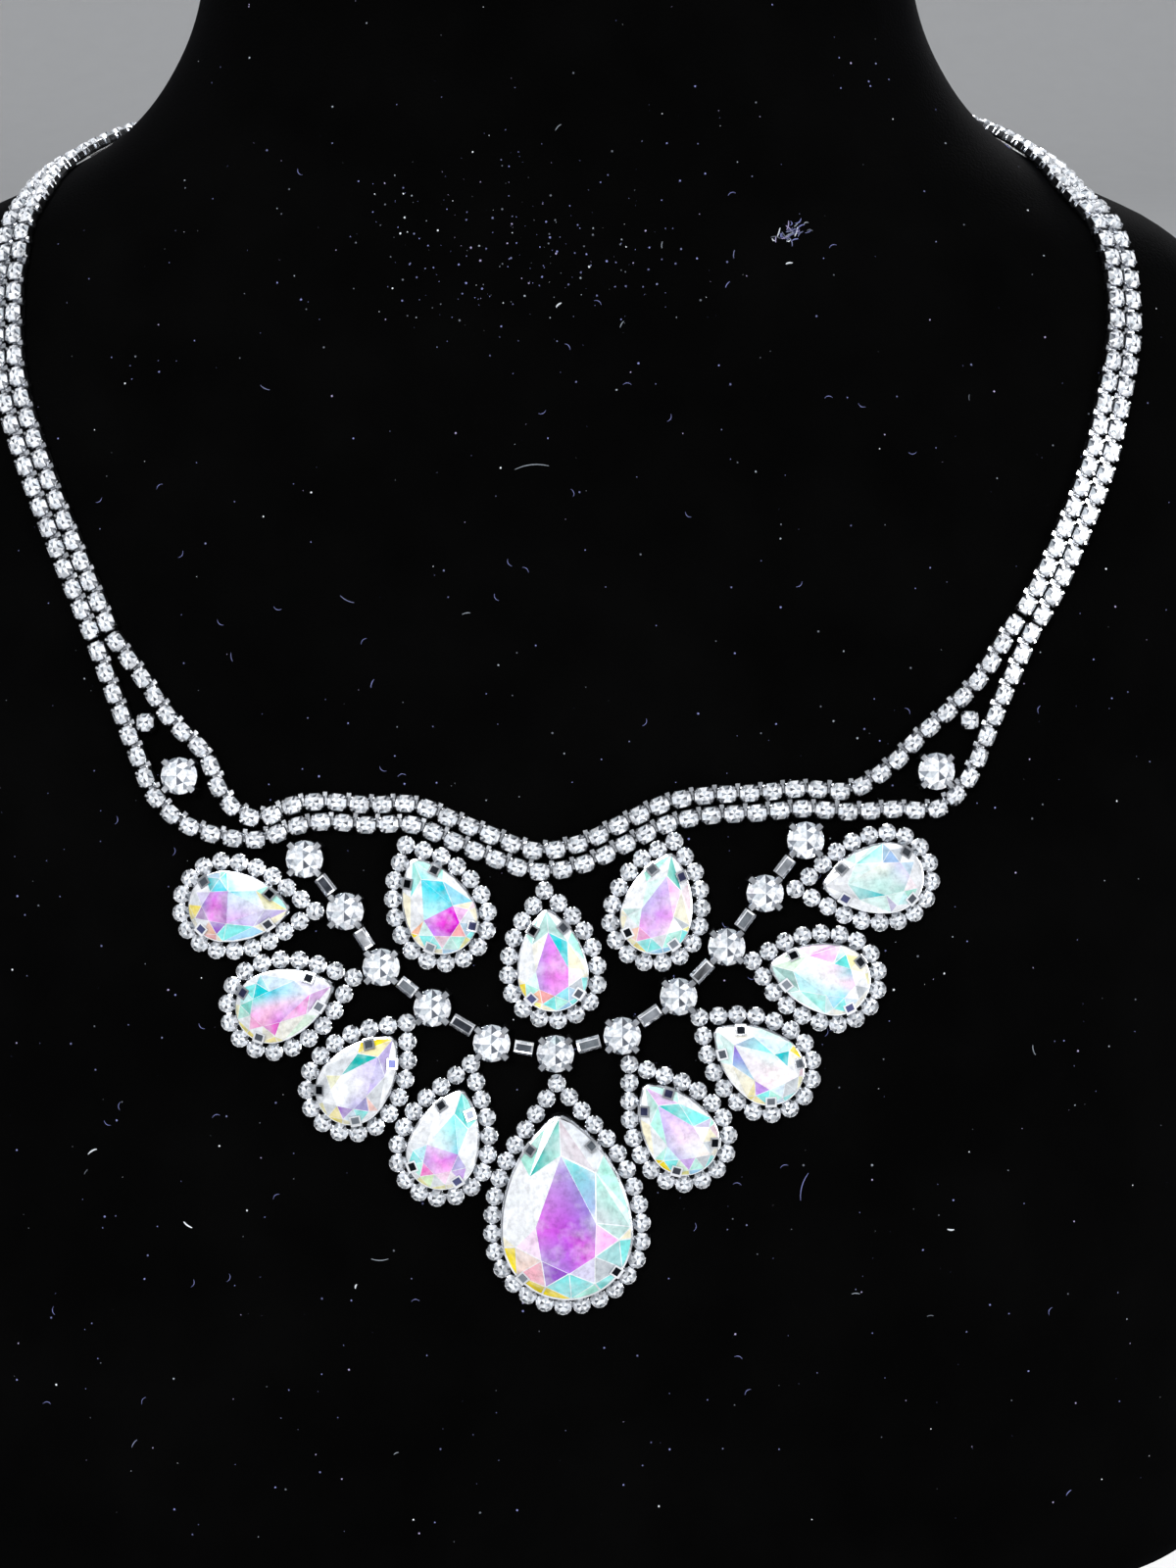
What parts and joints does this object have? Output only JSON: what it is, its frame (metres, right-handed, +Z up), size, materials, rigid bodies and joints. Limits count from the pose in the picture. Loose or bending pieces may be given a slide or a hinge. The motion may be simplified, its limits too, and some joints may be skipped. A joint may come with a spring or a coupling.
{
  "type": "bib necklace on neck bust",
  "caption": "Bib necklace of pear cut and round stones edged with stone chains, with double chain bands fastened round a plain velvet neck bust.",
  "frame": {"origin": "middle of the bust's flat base", "axes": "+Z up, the necklace faces -Y, +X to the viewer's right"},
  "size_m": [0.1996, 0.136, 0.228],
  "materials": {
    "velvet": "black velvet, very dark, soft nap",
    "pear_crystal": "foiled cut crystal with a shifting violet, teal and yellow coating, in silver settings",
    "round_crystal": "clear foiled cut crystal in silver cups",
    "chain_stones": "small clear foiled stones in silver cups",
    "silver_metal": "polished silver tone plating"
  },
  "bodies": {
    "root": {"neck_bust": "velvet", "pear_outer_left": "pear_crystal", "pear_outer_right": "pear_crystal", "pear_second_left": "pear_crystal", "pear_second_right": "pear_crystal", "pear_third_left": "pear_crystal", "pear_third_right": "pear_crystal", "pear_fourth_left": "pear_crystal", "pear_fourth_right": "pear_crystal", "pear_main": "pear_crystal", "pear_inner_left": "pear_crystal", "pear_inner_middle": "pear_crystal", "pear_inner_right": "pear_crystal", "halo_outer_left": "chain_stones", "halo_outer_right": "chain_stones", "halo_second_left": "chain_stones", "halo_second_right": "chain_stones", "halo_third_left": "chain_stones", "halo_third_right": "chain_stones", "halo_fourth_left": "chain_stones", "halo_fourth_right": "chain_stones", "halo_main": "chain_stones", "halo_inner_left": "chain_stones", "halo_inner_middle": "chain_stones", "halo_inner_right": "chain_stones", "round_1": "round_crystal", "round_2": "round_crystal", "round_3": "round_crystal", "round_4": "round_crystal", "round_5": "round_crystal", "round_6": "round_crystal", "round_7": "round_crystal", "round_8": "round_crystal", "round_9": "round_crystal", "round_10": "round_crystal", "round_11": "round_crystal", "round_side_left": "round_crystal", "round_side_right": "round_crystal", "bar_1": "silver_metal", "bar_2": "silver_metal", "bar_3": "silver_metal", "bar_4": "silver_metal", "bar_5": "silver_metal", "bar_6": "silver_metal", "bar_7": "silver_metal", "bar_8": "silver_metal", "bar_9": "silver_metal", "bar_10": "silver_metal", "stone_side_left": "chain_stones", "stone_side_right": "chain_stones", "edge_chain_inner": "chain_stones", "edge_chain_outer": "chain_stones", "band_left_inner": "chain_stones", "band_left_outer": "chain_stones", "band_right_inner": "chain_stones", "band_right_outer": "chain_stones", "clasp": "silver_metal"}
  },
  "joints": []
}
